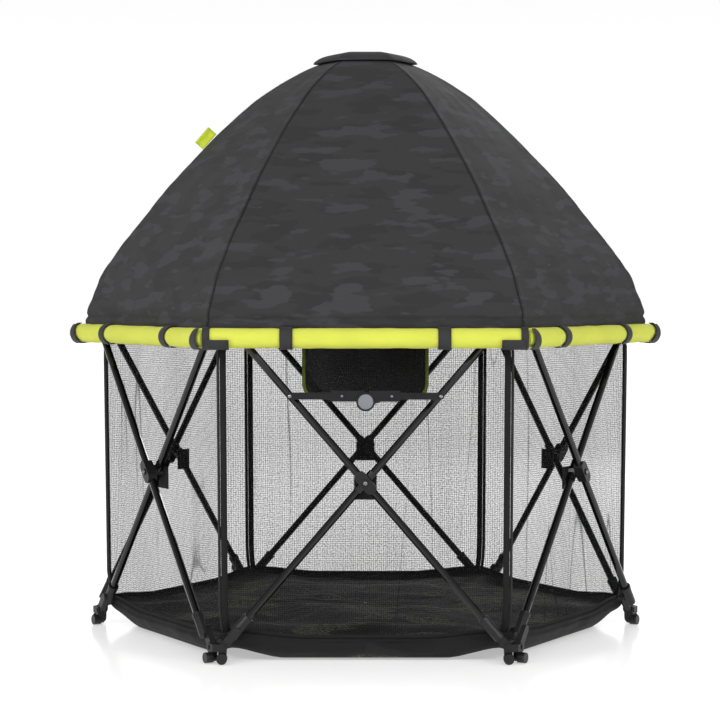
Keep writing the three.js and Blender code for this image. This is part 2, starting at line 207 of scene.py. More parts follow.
def addBump(nodes, links, shader, height, strength, distance, previous=None):
    bump = addNode(nodes, "ShaderNodeBump")
    bump.inputs["Strength"].default_value = strength
    bump.inputs["Distance"].default_value = distance
    links.new(height, bump.inputs["Height"])
    if previous is not None:
        links.new(previous, bump.inputs["Normal"])
    links.new(bump.outputs["Normal"], shader.inputs["Normal"])
    return bump.outputs["Normal"]


# Height of a plain weave: two crossed sets of threads.
def addWeave(nodes, links, threadsPerMetre):
    vector = placeCoords(nodes, links)
    heights = []
    for direction in ("X", "Z"):
        wave = addNode(nodes, "ShaderNodeTexWave", wave_type="BANDS", bands_direction=direction)
        wave.inputs["Scale"].default_value = threadsPerMetre / math.tau * 2
        wave.inputs["Distortion"].default_value = 0.6
        wave.inputs["Detail"].default_value = 1
        links.new(vector, wave.inputs["Vector"])
        heights.append(wave.outputs["Fac"])
    join = addNode(nodes, "ShaderNodeMath", operation="ADD")
    links.new(heights[0], join.inputs[0])
    links.new(heights[1], join.inputs[1])
    return join.outputs[0]


def hardFinish(name, color, roughness, grainScale, grainDepth, variation=0.35, metallic=0, shine=0.25):
    material, nodes, links, shader = startMaterial(name)
    shader.inputs["Specular IOR Level"].default_value = shine
    shader.inputs["Metallic"].default_value = metallic
    vector = placeCoords(nodes, links)
    grain = addNoise(nodes, links, vector, grainScale, 4)
    wear = addNoise(nodes, links, vector, 14, 6)
    light = tuple(channel * (1 + variation) for channel in color)
    dark = tuple(channel * (1 - variation) for channel in color)
    shade = addRamp(nodes, links, wear.outputs["Fac"], [(0.3, dark), (0.7, light)])
    links.new(shade, shader.inputs["Base Color"])
    rough = addNode(nodes, "ShaderNodeMapRange")
    rough.inputs["To Min"].default_value = roughness * 0.85
    rough.inputs["To Max"].default_value = roughness * 1.15
    links.new(wear.outputs["Fac"], rough.inputs["Value"])
    links.new(rough.outputs["Result"], shader.inputs["Roughness"])
    addBump(nodes, links, shader, grain.outputs["Fac"], 0.4, grainDepth)
    return material


def clothFinish(name, color, threads=900, sheen=0.3, roughness=0.85, variation=0.12, wrinkle=0.0012):
    material, nodes, links, shader = startMaterial(name)
    shader.inputs["Roughness"].default_value = roughness
    shader.inputs["Sheen Weight"].default_value = sheen
    shader.inputs["Sheen Roughness"].default_value = 0.5
    shader.inputs["Specular IOR Level"].default_value = 0.25
    vector = placeCoords(nodes, links)
    tone = addNoise(nodes, links, vector, 9, 5)
    light = tuple(min(1, channel * (1 + variation)) for channel in color)
    dark = tuple(channel * (1 - variation) for channel in color)
    shade = addRamp(nodes, links, tone.outputs["Fac"], [(0.3, dark), (0.7, light)])
    links.new(shade, shader.inputs["Base Color"])
    crease = addNoise(nodes, links, vector, 28, 3)
    first = addBump(nodes, links, shader, crease.outputs["Fac"], 0.5, wrinkle)
    addBump(nodes, links, shader, addWeave(nodes, links, threads), 0.35, 0.0003, first)
    return material


# Woven cloth with a tonal print of wide, flat blotches.
def blotchFinish(name, base, lighter, darker, accent=None, stretch=(7, 7, 26), wrinkle=0.0015):
    material, nodes, links, shader = startMaterial(name)
    shader.inputs["Roughness"].default_value = 0.8
    shader.inputs["Sheen Weight"].default_value = 0.04
    shader.inputs["Sheen Roughness"].default_value = 0.45
    shader.inputs["Specular IOR Level"].default_value = 0.2
    color = None
    layers = [(1.0, darker, 0.53), (2.7, lighter, 0.57)] + ([(5.1, accent, 0.56)] if accent else [])
    for shift, tint, edge in layers:
        vector = placeCoords(nodes, links, stretch)
        offset = addNode(nodes, "ShaderNodeVectorMath", operation="ADD")
        offset.inputs[1].default_value = (shift, shift * 2, shift * 3)
        links.new(vector, offset.inputs[0])
        patch = addNode(nodes, "ShaderNodeTexNoise")
        patch.inputs["Scale"].default_value = 1.6
        patch.inputs["Detail"].default_value = 5
        patch.inputs["Roughness"].default_value = 0.45
        links.new(offset.outputs[0], patch.inputs["Vector"])
        stops = [(edge - 0.012, (0, 0, 0)), (edge + 0.012, (1, 1, 1))]
        mask = addRamp(nodes, links, patch.outputs["Fac"], stops)
        if tint is accent:
            speck = addNoise(nodes, links, placeCoords(nodes, links), 260)
            cut = addRamp(nodes, links, speck.outputs["Fac"], [(0.48, (0, 0, 0)), (0.56, (1, 1, 1))])
            both = addNode(nodes, "ShaderNodeMath", operation="MULTIPLY")
            links.new(mask, both.inputs[0])
            links.new(cut, both.inputs[1])
            reach = addNode(nodes, "ShaderNodeVectorMath", operation="LENGTH")
            links.new(placeCoords(nodes, links, (1, 1, 0)), reach.inputs[0])
            inside = addNode(nodes, "ShaderNodeMapRange")
            inside.inputs["From Min"].default_value = 0.492
            inside.inputs["From Max"].default_value = 0.485
            links.new(reach.outputs["Value"], inside.inputs["Value"])
            top = addNode(nodes, "ShaderNodeMath", operation="MULTIPLY")
            links.new(both.outputs[0], top.inputs[0])
            links.new(inside.outputs["Result"], top.inputs[1])
            mask = top.outputs[0]
        mix = addNode(nodes, "ShaderNodeMix", data_type="RGBA")
        if color is None:
            mix.inputs[6].default_value = (*base, 1)
        else:
            links.new(color, mix.inputs[6])
        mix.inputs[7].default_value = (*tint, 1)
        links.new(mask, mix.inputs[0])
        color = mix.outputs[2]
    links.new(color, shader.inputs["Base Color"])
    vector = placeCoords(nodes, links)
    crease = addNoise(nodes, links, vector, 16, 4)
    first = addBump(nodes, links, shader, crease.outputs["Fac"], 0.45, wrinkle)
    addBump(nodes, links, shader, addWeave(nodes, links, 800), 0.4, 0.0003, first)
    return material


# Knitted net: an even grid of small round holes, seen through.
def meshFinish(name, color, cover, dots=240):
    material, nodes, links, shader = startMaterial(name)
    shader.inputs["Base Color"].default_value = (*color, 1)
    shader.inputs["Roughness"].default_value = 0.8
    shader.inputs["Specular IOR Level"].default_value = 0.1
    coords = addNode(nodes, "ShaderNodeUVMap")
    scaled = addNode(nodes, "ShaderNodeMapping")
    scaled.inputs["Scale"].default_value = (dots, dots, 1)
    links.new(coords.outputs["UV"], scaled.inputs["Vector"])
    cells = addNode(nodes, "ShaderNodeTexVoronoi", voronoi_dimensions="2D")
    cells.inputs["Scale"].default_value = 1
    cells.inputs["Randomness"].default_value = 0.25
    links.new(scaled.outputs["Vector"], cells.inputs["Vector"])
    fade = addNoise(nodes, links, placeCoords(nodes, links, (1, 1, 0.25)), 7)
    ring = addNode(nodes, "ShaderNodeMapRange")
    ring.inputs["From Min"].default_value = 0.25
    ring.inputs["From Max"].default_value = 0.6
    ring.inputs["To Min"].default_value = cover * 0.45
    ring.inputs["To Max"].default_value = min(1, cover * 1.9)
    links.new(cells.outputs["Distance"], ring.inputs["Value"])
    swing = addNode(nodes, "ShaderNodeMapRange")
    swing.inputs["To Min"].default_value = 0.75
    swing.inputs["To Max"].default_value = 1.25
    links.new(fade.outputs["Fac"], swing.inputs["Value"])
    alpha = addNode(nodes, "ShaderNodeMath", operation="MULTIPLY")
    links.new(ring.outputs["Result"], alpha.inputs[0])
    links.new(swing.outputs["Result"], alpha.inputs[1])
    folds = addNoise(nodes, links, placeCoords(nodes, links, (1, 1, 0.1)), 7, 0.5)
    ridge = addNode(nodes, "ShaderNodeMapRange")
    ridge.inputs["From Min"].default_value = 0.005
    ridge.inputs["From Max"].default_value = 0
    ridge.inputs["To Max"].default_value = 0.42
    offMiddle = addNode(nodes, "ShaderNodeMath", operation="SUBTRACT")
    offMiddle.inputs[1].default_value = 0.58
    links.new(folds.outputs["Fac"], offMiddle.inputs[0])
    size = addNode(nodes, "ShaderNodeMath", operation="ABSOLUTE")
    links.new(offMiddle.outputs[0], size.inputs[0])
    links.new(size.outputs[0], ridge.inputs["Value"])
    where = addNoise(nodes, links, placeCoords(nodes, links, (1, 1, 0.6)), 3.1)
    some = addRamp(nodes, links, where.outputs["Fac"], [(0.47, (0, 0, 0)), (0.6, (1, 1, 1))])
    kept = addNode(nodes, "ShaderNodeMath", operation="MULTIPLY")
    links.new(ridge.outputs["Result"], kept.inputs[0])
    links.new(some, kept.inputs[1])
    total = addNode(nodes, "ShaderNodeMath", operation="ADD", use_clamp=True)
    links.new(alpha.outputs[0], total.inputs[0])
    links.new(kept.outputs[0], total.inputs[1])
    links.new(total.outputs[0], shader.inputs["Alpha"])
    material.surface_render_method = "DITHERED"
    return material


def ribbedFinish(name, color):
    material, nodes, links, shader = startMaterial(name)
    shader.inputs["Roughness"].default_value = 0.75
    shader.inputs["Sheen Weight"].default_value = 0.04
    vector = placeCoords(nodes, links)
    ribs = addNode(nodes, "ShaderNodeTexWave", wave_type="BANDS", bands_direction="DIAGONAL")
    ribs.inputs["Scale"].default_value = 160
    ribs.inputs["Distortion"].default_value = 0.5
    links.new(vector, ribs.inputs["Vector"])
    dark = tuple(channel * 0.7 for channel in color)
    light = tuple(channel * 1.3 for channel in color)
    tone = addRamp(nodes, links, ribs.outputs["Fac"], [(0.2, dark), (0.8, light)])
    links.new(tone, shader.inputs["Base Color"])
    addBump(nodes, links, shader, ribs.outputs["Fac"], 0.5, 0.0004)
    return material


glossBlack = hardFinish("glossBlack", (0.003, 0.003, 0.0033), 0.1, 300, 0.00002, variation=0.2, shine=0.36)
mouldedBlack = hardFinish("mouldedBlack", (0.009, 0.009, 0.010), 0.4, 900, 0.0002)
lockGrey = hardFinish("lockGrey", (0.005, 0.005, 0.006), 0.28, 500, 0.00008)
buttonGrey = hardFinish("buttonGrey", (0.15, 0.155, 0.17), 0.5, 700, 0.0001, variation=0.08)
rivetSteel = hardFinish("rivetSteel", (0.2, 0.2, 0.21), 0.3, 500, 0.00005, metallic=1)
poleBlack = hardFinish("poleBlack", (0.012, 0.012, 0.012), 0.35, 400, 0.00005)
railLime = clothFinish("railLime", (0.485, 0.515, 0.062), threads=900, sheen=0.05, variation=0.05)
bandBlack = clothFinish("bandBlack", (0.005, 0.005, 0.0055), sheen=0.03)
# Pocket binding: lime cloth whose colour is painted much darker than the rails' lime, as painted shade from
# the canopy and rail above the pocket.
bindingLimePaintedShade = clothFinish("bindingLimePaintedShade", (0.13, 0.17, 0.012), sheen=0.05)
tagLime = clothFinish("tagLime", (0.42, 0.5, 0.03), sheen=0.05)
webbingBlack = ribbedFinish("webbingBlack", (0.007, 0.007, 0.008))
netBlack = meshFinish("netBlack", (0.006, 0.006, 0.006), 0.34)
pocketNet = meshFinish("pocketNet", (0.004, 0.004, 0.004), 1.9)
canopyCloth = blotchFinish("canopyCloth", (0.0225, 0.0225, 0.0235), (0.031, 0.031, 0.0345),
                           (0.0185, 0.0185, 0.0192))
matCloth = blotchFinish("matCloth", (0.006, 0.006, 0.0065), (0.009, 0.009, 0.009), (0.0045, 0.0045, 0.005),
                        accent=(0.10, 0.105, 0.06), stretch=(4, 7, 6), wrinkle=0.003)
print("finishes made")


def dress(piece, material, body, squashAxis=None, keep=foldedShare):
    piece.data.materials.clear()
    piece.data.materials.append(material)
    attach(piece, body)
    if squashAxis is not None:
        tuple(squashAxis)
        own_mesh(piece)
    return piece


# Frame pieces that keep their shape

nodeFinish = {
    "outer_tube": glossBlack,
    "inner_tube": glossBlack,
    "outer_elbow": mouldedBlack,
    "inner_elbow": mouldedBlack,
    "crossing_block": mouldedBlack,
    "foot_hub": mouldedBlack,
    "top_hub": mouldedBlack,
    "lock_arm": lockGrey,
    "lock_button": buttonGrey,
    "canopy_pole": poleBlack,
}
for nodeName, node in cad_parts.items():
    for start, finish in nodeFinish.items():
        if nodeName.startswith(start):
            for materialSlot in node.material_slots:
                materialSlot.material = finish
            node.data.polygons.foreach_set("use_smooth", [True] * len(node.data.polygons))
            selectOnly([node])
            bpy.ops.object.shade_smooth_by_angle(angle=math.radians(41))
print("frame finished")

# Padded rails

railShape = {
    "apothem": -railLow.y - (railHigh.z - railLow.z) / 2,
    "radius": (railHigh.z - railLow.z) / 2,
    "height": (railHigh.z + railLow.z) / 2,
    "back": -railHigh.y,
    "reach": 0.663,
    "gap": 0.0012,
    "strapAt": 0.159,
    "strapWidth": 0.026,
    "foldedShare": 0.19,
    "endInset": 0.010,
    "endWidth": 0.015,
    "tabInset": 0.022,
    "tabWidth": 0.048,
}
strapPlaces = (-railShape["strapAt"], railShape["strapAt"])


# Out and up of the sleeve's section; its back lies flat on the tubes.
def railSection(angle, grow=0.0):
    radius = railShape["radius"] + grow
    out = railShape["apothem"] + radius * math.cos(angle)
    up = railShape["height"] + radius * math.sin(angle)
    return max(out, railShape["back"] - grow), up


def railReach(out):
    mitre = out * halfTan - railShape["gap"]
    trimmed = (railShape["reach"] - out * halfCos) * 2
    return min(mitre, trimmed)


def makeRail(side):
    def place(rowShare, columnShare):
        angle = columnShare * math.tau
        sign = rowShare * 2 - 1
        edge = 1 - abs(sign)
        shrink = -0.0042 * (1 - smoothStep(0, 0.035, edge)) - 0.0006
        out, up = railSection(angle, shrink)
        along = sign * railReach(out)
        pinch = sum(math.exp(-(((along - at) / 0.017) ** 2)) for at in strapPlaces)
        soft = ripple(along * 22, math.cos(angle) * 1.2, math.sin(angle) * 1.2, side)
        fold = ripple(along * 70, math.cos(angle) * 0.8, math.sin(angle) * 0.8, side + 3)
        grow = shrink - 0.0016 * pinch + 0.0011 * soft + 0.0005 * fold * (0.4 + pinch)
        out, up = railSection(angle, grow)
        return sidePoint(side, along, out, up)

    rail = gridPiece(f"railPad_{side}", 150, 36, place, closeColumns=True, capEnds=True)
    return fixNormals(rail)


# Lets the cloth of a padded piece swell between its held places.
def inflate(piece, holdWeight, pressure, limit):
    start = [vertex.co.copy() for vertex in piece.data.vertices]
    held = piece.vertex_groups.new(name="held")
    for vertex in piece.data.vertices:
        held.add([vertex.index], holdWeight(vertex), "REPLACE")
    cloth = piece.modifiers.new("swell", "CLOTH")
    cloth.settings.vertex_group_mass = "held"
    cloth.settings.quality = 4
    cloth.settings.mass = 0.3
    cloth.settings.tension_stiffness = 8
    cloth.settings.compression_stiffness = 8
    cloth.settings.bending_stiffness = 0.05
    cloth.settings.use_pressure = True
    cloth.settings.uniform_pressure_force = pressure
    cloth.settings.effector_weights.gravity = 0
    cloth.point_cache.frame_start = 1
    cloth.point_cache.frame_end = 20
    for frameNumber in range(1, 21):
        bpy.context.scene.frame_set(frameNumber)
    applyModifiers(piece)
    bpy.context.scene.frame_set(1)
    piece.vertex_groups.clear()
    for vertex, before in zip(piece.data.vertices, start):
        move = vertex.co - before
        if move.length > limit:
            vertex.co = before + move * (limit / move.length)
    return piece


def railHold(side):
    direction = sideAxis(side)
    outward = sidePoint(side, 0, 1, 0)

    def weight(vertex):
        along = vertex.co.dot(direction)
        reach = railReach(railShape["apothem"])
        strap = max(math.exp(-(((along - at) / 0.012) ** 2)) for at in strapPlaces)
        end = 1 - smoothStep(0.008, 0.03, reach - abs(along))
        back = 1 - smoothStep(0.001, 0.01, vertex.co.dot(outward) - railShape["back"])
        return min(1, max(strap, end, back))

    return weight


# A strap laid round the sleeve between two turns of its section.
def makeRailBand(side, name, centre, width, turnFrom, turnTo, grow=0.0012, thick=0.0016, lean=0.0):
    def place(rowShare, columnShare):
        angle = turnFrom + (turnTo - turnFrom) * rowShare
        out, up = railSection(angle, grow)
        along = centre + width * (columnShare - 0.5) + lean * (out - railShape["apothem"])
        return sidePoint(side, along, out, up)

    band = gridPiece(name, 32, 5, place)
    return thicken(band, thick)


# A three-cornered flap that hangs from the sleeve's end over the tube's top.
def makeCornerFlap(side, name, sign):
    def place(rowShare, columnShare):
        angle = 0.9 - 2.0 * rowShare
        out, up = railSection(angle, 0.0042)
        width = 0.016 + 0.020 * rowShare
        end = sign * (railReach(railShape["apothem"] + railShape["radius"]) + 0.004)
        return sidePoint(side, end - sign * width * columnShare, out, up)

    return thicken(gridPiece(name, 16, 6, place), 0.0016)


# One end of a sleeve, from its middle to a corner, shaded as the whole sleeve.
def takeRailEnd(rail, side, sign, name):
    direction = sideAxis(side)
    whole = rail.data
    normals = [vertex.normal.copy() for vertex in whole.vertices]
    chosen = [face for face in whole.polygons if face.center.dot(direction) * sign > 0]
    used = sorted({index for face in chosen for index in face.vertices})
    order = {index: number for number, index in enumerate(used)}
    faces = [tuple(order[index] for index in face.vertices) for face in chosen]
    edgeUse = {}
    for face in faces:
        for start, end in zip(face, face[1:] + face[:1]):
            edgeUse[(start, end)] = True
    openEdges = {end: start for start, end in edgeUse if (end, start) not in edgeUse}
    first = next(iter(openEdges))
    ring = [first]
    while openEdges[ring[-1]] != first:
        ring.append(openEdges[ring[-1]])
    end = newPiece(name, [whole.vertices[index].co for index in used], faces + [tuple(ring)])
    end.data.normals_split_custom_set_from_vertices([normals[index] for index in used])
    return end


for side in range(sideCount):
    rail = makeRail(side)
    inflate(rail, railHold(side), 4, 0.005)
    addModifier(rail, "SUBSURF", levels=1, render_levels=1)
    applyModifiers(rail)
    for sign, corner in ((-1, side), (1, (side + 1) % sideCount)):
        body = f"top_hub_{corner}"
        word = "left" if sign < 0 else "right"
        cornerAlong = sign * railShape["apothem"] * halfTan
        anchor = sidePoint(side, cornerAlong, railShape["apothem"], railShape["height"])
        half = takeRailEnd(rail, side, sign, f"railPad_{side}_{word}")
        if sign < 0:
            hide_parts(f"rail_pad_{side}")
        dress(half, railLime, body, sideAxis(side), railShape["foldedShare"])
        strapAt, strapWidth = sign * railShape["strapAt"], railShape["strapWidth"]
        straps = [makeRailBand(side, "strap", strapAt, strapWidth, -math.pi, math.pi)]
        end = sign * (railReach(railShape["apothem"] + railShape["radius"] * 0.7) - railShape["endInset"])
        if side % 2 == 0:
            straps.append(makeRailBand(side, "end", end, railShape["endWidth"], -2.6, 1.3, grow=0.002))
            tabAt = end - sign * railShape["tabInset"]
            straps.append(makeRailBand(side, "tab", tabAt, railShape["tabWidth"], -1.15, -0.12,
                                       grow=0.0032, thick=0.0024))
        else:
            straps.append(makeCornerFlap(side, "flap", sign))
        straps = joinPieces(f"railStraps_{side}_{word}", straps)
        dress(straps, webbingBlack, body, sideAxis(side), railShape["foldedShare"])
    bpy.data.objects.remove(rail)
print("rails made")

# Net walls

wallShape = {
    "topRadius": wallHigh.x,
    "bottomRadius": wallHigh.x - 0.007,
    "top": wallHigh.z,
    "bottom": wallLow.z - 0.0055,
    "sag": 0.013,
    "cornerPull": 0.012,
    "bandWidth": 0.024,
    "patch": 0.046,
    "patchDrop": 0.012,
    "flat": (0.582, 0.612),
    "rows": 40,
    "columns": 90,
    "foldedShare": 0.19,
}


# A point of a wall: share runs from one corner to the next.
def wallPoint(side, share, upShare, push=0.0):
    low = wallShape["bottom"] - wallShape["sag"] * smoothStep(0.02, 0.3, min(share, 1 - share))
    radius = wallShape["bottomRadius"] + (wallShape["topRadius"] - wallShape["bottomRadius"]) * upShare
    up = low + (wallShape["top"] - low) * upShare
    corner = math.exp(-((min(share, 1 - share) * radius / 0.035) ** 2))
    pull = corner * smoothStep(0, 0.08, upShare) * smoothStep(0, 0.06, 1 - upShare)
    radius += wallShape["cornerPull"] * pull
    return sidePoint(side, (share - 0.5) * radius, radius * halfCos + push, up)


def makeWall(side):
    def place(rowShare, columnShare):
        hang = smoothStep(0, 0.12, columnShare) * smoothStep(0, 0.12, 1 - columnShare)
        hang *= smoothStep(0, 0.1, rowShare) * smoothStep(0, 0.06, 1 - rowShare)
        broad = ripple(columnShare * 5, rowShare * 1.2, side * 3.1)
        fine = ripple(columnShare * 16, rowShare * 1.6, side * 5.7)
        push = -abs(0.010 * broad + 0.004 * fine) * hang - 0.0012
        return wallPoint(side, columnShare, rowShare, push)

    rows, columns = wallShape["rows"], wallShape["columns"]
    wall = gridPiece(f"netWall_{side}", rows, columns, place)
    layer = wall.data.uv_layers.new(name="UVMap")
    for loop in wall.data.loops:
        row, column = divmod(loop.vertex_index, columns)
        layer.data[loop.index].uv = (column / (columns - 1) * 0.58, row / (rows - 1) * 0.6)
    return wall


def makeWallStrip(side, name, shareRange, upRange, push, thick, rows=2, columns=2):
    def place(rowShare, columnShare):
        share = shareRange[0] + (shareRange[1] - shareRange[0]) * columnShare
        up = upRange[0] + (upRange[1] - upRange[0]) * rowShare
        return wallPoint(side, share, up, push)

    return thicken(gridPiece(name, rows, columns, place), thick)


bandShare = wallShape["bandWidth"] / 2 / wallShape["bottomRadius"]
for side in range(sideCount):
    body = f"top_hub_{side}"
    anchor = sidePoint(side, -wallShape["topRadius"] / 2, wallShape["topRadius"] * halfCos, wallShape["top"])
    wall = makeWall(side)
    if side == 0:
        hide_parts("mesh_enclosure")
    dress(wall, netBlack, body, sideAxis(side), wallShape["foldedShare"])
    trims = [
        makeWallStrip(side, "topBand", (0, 1), (0.985, 1), 0.0012, 0.0014, 2, 12),
        makeWallStrip(side, "bottomBand", (0, 1), (0, 0.016), 0.0012, 0.0014, 2, 12),
        makeWallStrip(side, "leftBand", (0, bandShare), (0, 1), 0.0014, 0.0012, 20, 3),
        makeWallStrip(side, "rightBand", (1 - bandShare, 1), (0, 1), 0.0014, 0.0012, 20, 3),
    ]
    trims = joinPieces(f"wallBinding_{side}", trims)
    dress(trims, bandBlack, body, sideAxis(side), wallShape["foldedShare"])
    wallRise = wallShape["top"] - wallShape["bottom"]
    patchUp = ((blockLow.z + blockHigh.z) / 2 - wallShape["bottom"]) / wallRise - wallShape["patchDrop"]
    halfUp = wallShape["patch"] / 2 / wallRise
    halfShare = wallShape["patch"] / 2 / wallShape["bottomRadius"]
    patch = makeWallStrip(side, f"tiePatch_{side}", (0.5 - halfShare, 0.5 + halfShare),
                          (patchUp - halfUp, patchUp + halfUp), 0.0022, 0.002, 6, 6)
    dress(patch, bandBlack, body, sideAxis(side), wallShape["foldedShare"])
print("walls made")

# Floor mat, cut in sectors round the middle

sectorsPerSide = 4


# A point of a six-sided ring of that corner radius; theta counts sides from the first corner.
def ringPoint(theta, radius, up):
    side = int(math.floor(theta)) % sideCount
    share = theta - math.floor(theta)
    return sidePoint(side, (share - 0.5) * radius, radius * halfCos, up)


# place(rowShare, theta) gives the surface; returns its sectors with the whole surface's normals.
def makeSectors(name, rows, place, columnsPerSector=8):
    total = sideCount * sectorsPerSide * columnsPerSector
    whole = gridPiece(name + "Whole", rows, total, lambda r, c: place(r, c * sideCount), closeColumns=True)
    whole.data.update()
    normals = [vertex.normal.copy() for vertex in whole.data.vertices]
    points = [vertex.co.copy() for vertex in whole.data.vertices]
    bpy.data.objects.remove(whole)
    made = []
    for sector in range(sideCount * sectorsPerSide):
        first = sector * columnsPerSector
        wide = columnsPerSector + 1
        picks = [row * total + (first + column) % total for row in range(rows) for column in range(wide)]
        corners = [row * wide + column for row in range(rows - 1) for column in range(columnsPerSector)]
        faces = [(at, at + 1, at + wide + 1, at + wide) for at in corners]
        piece = newPiece(f"{name}_{sector}", [points[pick] for pick in picks], faces)
        piece.data.normals_split_custom_set_from_vertices([normals[pick] for pick in picks])
        turn = (sector + 0.5) / sectorsPerSide * sideTurn - math.pi / 2 - sideTurn / 2
        made.append((piece, Vector((math.cos(turn), math.sin(turn), 0))))
    return made


# A point on a smooth line through the profile's points.
def profilePoint(profile, share):
    spans = len(profile) - 1
    position = share * spans
    index = min(spans - 1, int(position))
    local = position - index
    picks = [profile[min(spans, max(0, index + step))] for step in (-1, 0, 1, 2)]
    result = []
    for before, start, end, after in zip(*picks):
        square = 2 * before - 5 * start + 4 * end - after
        cube = 3 * start - before - 3 * end + after
        result.append(0.5 * (2 * start + (end - before) * local + square * local ** 2 + cube * local ** 3))
    return result


# Area of a cut that isn't a rectangle: that of the surface as drawn, at most the rectangle's.
def cutArea(piece, flat):
    return min(sum(polygon.area for polygon in piece.data.polygons), flat[0] * flat[1])


matEdge = matHigh.x
matShape = {
    "profile": [
        (0.004, 0.047), (0.12, 0.049), (0.28, 0.047), (0.42, 0.045), (0.52, 0.044), (matEdge - 0.018, 0.049),
        (matEdge - 0.008, 0.0565), (matEdge - 0.003, 0.0590), (matEdge, 0.0560), (matEdge - 0.001, 0.0515),
        (matEdge + 0.001, 0.042), (matEdge - 0.004, 0.028), (matEdge - 0.014, 0.014),
        (matEdge - 0.036, 0.0025), (matEdge - 0.12, 0.0008),
    ],
    "flat": (0.155, 0.72),
    "topShare": 0.62,  # share of the profile's rows that lie on the top
    "skirtTop": 0.0515,
    "wrinkle": 0.009,
    "sag": 0.013,  # the edge hangs lower between the corners
    "cornerLift": 0.022,
}


def edgeSag(share):
    return matShape["sag"] * smoothStep(0.02, 0.3, min(share, 1 - share))


def matPlace(rowShare, theta):
    radius, up = profilePoint(matShape["profile"], rowShare)
    share = theta - math.floor(theta)
    rim = smoothStep(0.35, 0.57, radius)
    if rowShare < matShape["topShare"]:
        up -= edgeSag(share) * rim
        point = ringPoint(theta, radius, up)
        inner = smoothStep(0.0, 0.1, radius) * (1 - smoothStep(matEdge - 0.03, matEdge - 0.012, radius))
        soft = ripple(point.x * 8, point.y * 13, 0.3) + 0.7 * abs(ripple(point.x * 17, point.y * 34, 1.3))
        point.z += matShape["wrinkle"] * soft * inner
        return point
    level = min(1, up / matShape["skirtTop"])
    lift = matShape["cornerLift"] * (1 - smoothStep(0.0, 0.2, min(share, 1 - share)))
    up = up * (1 - edgeSag(share) / matShape["skirtTop"] * level) + lift * (1 - level)
    point = ringPoint(theta, radius, up)
    pucker = ripple(theta * 9, up * 30, 2.2) + 0.6 * ripple(theta * 30, up * 16, 4.1)
    bulge = smoothStep(0.004, 0.02, up) * (1 - smoothStep(0.040, 0.050, up))
    point.xy *= 1 + 0.008 * pucker * bulge
    return point


for piece, axis in makeSectors("matPanel", 64, matPlace):
    if piece.name.endswith("_0"):
        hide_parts("floor_mat")
    dress(piece, matCloth, "liner", axis, keep=0.13)
    cutArea(piece, matShape["flat"])
print("mat made")

hemHeight = 0.6805  # the hem lies on the sleeves' upper face
canopyShape = {
    "profile": [
        (0.636, hemHeight), (0.637, 0.690), (0.635, 0.706), (0.630, 0.722), (0.615, 0.757), (0.602, 0.790),
        (0.575, 0.830), (0.548, 0.868), (0.500, 0.926), (0.456, 0.981), (0.418, 1.024), (0.378, 1.066),
        (0.333, 1.111), (0.274, 1.164), (0.230, 1.199), (0.160, 1.242), (0.100, 1.268), (0.040, 1.2775),
        (0.003, 1.279),
    ],
    "columnsPerSide": 44,
    "crowd": 0.8,  # columns stand closer together at the seams
    "grooveWidth": 0.0035,
    "grooveDepth": 0.0028,
}


def canopyPoint(rowShare, theta):
    radius, up = profilePoint(canopyShape["profile"], rowShare)
    share = theta - math.floor(theta)
    fromCorner = min(share, 1 - share) * radius
    groove = math.exp(-((fromCorner / canopyShape["grooveWidth"]) ** 2)) * smoothStep(0.06, 0.14, radius)
    shoulder = math.exp(-(((fromCorner - 0.009) / 0.005) ** 2))
    middle = 4 * share * (1 - share)
    billow = 0.004 * middle * smoothStep(0, 0.3, rowShare) * (1 - smoothStep(0.6, 1, rowShare))
    hemLine = -0.0042 * math.exp(-(((up - hemHeight - 0.019) / 0.005) ** 2))
    crease = 0.003 * ripple(theta * 2.5, up * 9, 1.7) + 0.0016 * ripple(theta * 8, up * 6, 6.2)
    pucker = 0.0014 * ripple(theta * 2, up * 55, 8.1) * math.exp(-fromCorner / 0.03)
    crease = (crease + pucker) * smoothStep(0.08, 0.2, radius) * smoothStep(hemHeight, hemHeight + 0.03, up)
    grow = billow + hemLine + crease + 0.0008 * shoulder - canopyShape["grooveDepth"] * groove
    point = ringPoint(theta, radius, up)
    return point + Vector((point.x, point.y, 0)).normalized() * grow


def canopyPlace(rowShare, columnShare):
    theta = columnShare * sideCount
    whole = math.floor(theta)
    share = theta - whole
    share -= canopyShape["crowd"] * math.sin(math.tau * share) / math.tau
    return canopyPoint(rowShare, whole + share)


canopyColumns = sideCount * canopyShape["columnsPerSide"]
canopy = gridPiece("canopySheet", 110, canopyColumns, canopyPlace, closeColumns=True)
thicken(canopy, 0.0012, -1)
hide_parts("canopy_fabric")
dress(canopy, canopyCloth, "canopy")


def makeSeamTape(corner):
    def place(rowShare, columnShare):
        radius = profilePoint(canopyShape["profile"], rowShare)[0]
        theta = corner + (columnShare - 0.5) * 0.0048 / (0.05 + radius)
        point = canopyPoint(0.01 + rowShare * 0.9, theta % sideCount)
        return point + Vector((point.x, point.y, 0.5 * point.length)).normalized() * 0.0009

    return gridPiece(f"seam_{corner}", 70, 3, place)


seams = joinPieces("canopySeams", [makeSeamTape(corner) for corner in range(sideCount)])
dress(seams, bandBlack, "canopy")

capShape = {
    "profile": [(0.002, 1.2935), (0.05, 1.2922), (0.08, 1.2885), (0.1, 1.2825), (0.112, 1.2755),
                (0.1172, 1.2700), (0.1162, 1.2675), (0.106, 1.2685)],
    "flat": (0.25, 0.22),
}


def capPlace(rowShare, columnShare):
    radius, up = profilePoint(capShape["profile"], rowShare)
    theta = columnShare * sideCount
    share = theta - math.floor(theta)
    sag = 0.001 * 4 * share * (1 - share) * smoothStep(0.07, 0.12, radius)
    return ringPoint(theta, radius, up + sag)


cap = gridPiece("crownCap", 36, 96, capPlace, closeColumns=True)
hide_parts("canopy_cap")
dress(cap, canopyCloth, "canopy")
cutArea(cap, capShape["flat"])
print("canopy made")

# Storage pocket

